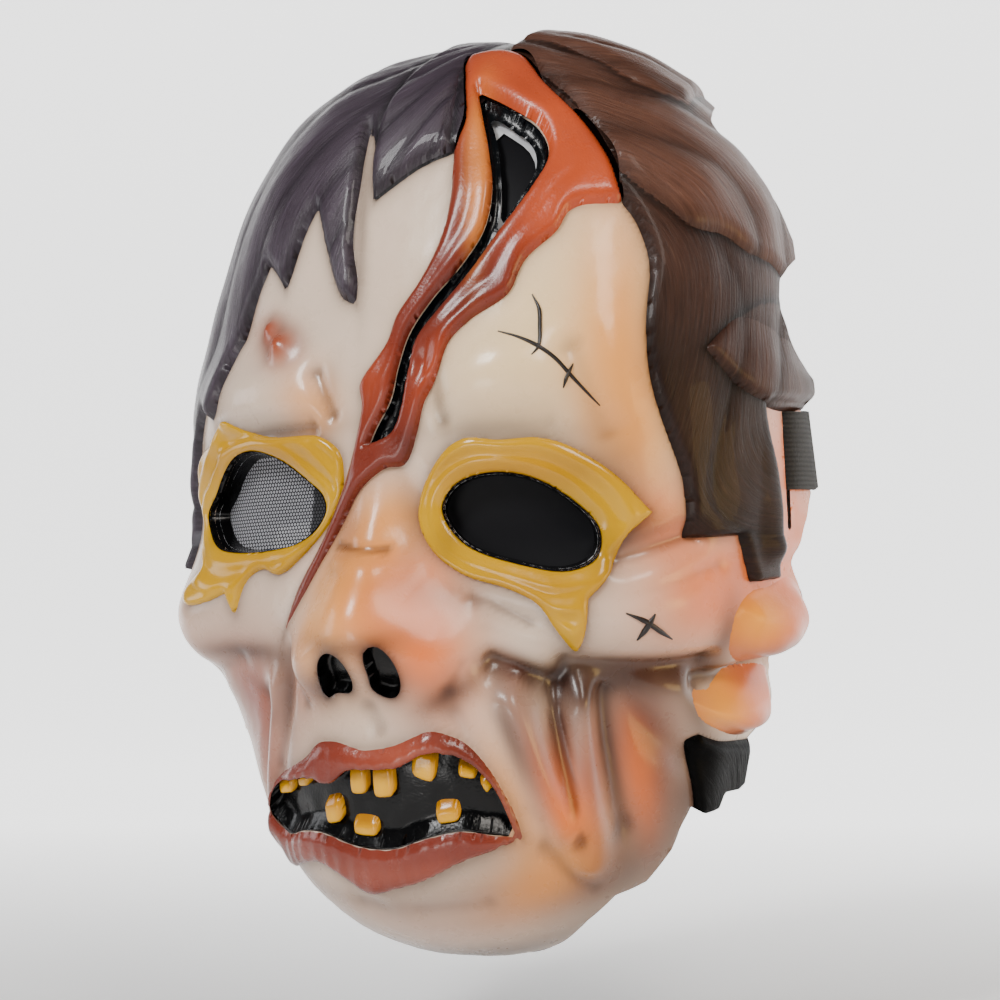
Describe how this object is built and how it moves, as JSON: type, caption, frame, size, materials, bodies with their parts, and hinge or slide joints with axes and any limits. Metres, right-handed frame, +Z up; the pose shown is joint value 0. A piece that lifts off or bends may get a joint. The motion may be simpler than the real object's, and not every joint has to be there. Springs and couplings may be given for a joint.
{
  "type": "zombie mask",
  "caption": "Full-face moulded zombie mask with a split forehead wound, mesh-backed eye holes, painted hair and an elastic head strap.",
  "frame": {"origin": "where the bridge of the wearer's nose rests, about 3 mm behind the inside of the shell, midway between the side tabs", "axes": "+Z up the face towards the hair, -Y the way the face looks, +X to the right of someone who looks at the face"},
  "size_m": [0.1967, 0.2023, 0.278],
  "materials": {
    "shell_plastic": "airbrushed and lacquered",
    "mesh": "stiff open mesh, black",
    "elastic": "ribbed knitted elastic"
  },
  "bodies": {
    "root": {"mask_shell": "shell_plastic", "eye_mesh_left": "mesh", "eye_mesh_right": "mesh", "wound_mesh": "mesh", "head_strap": "elastic"}
  },
  "joints": []
}
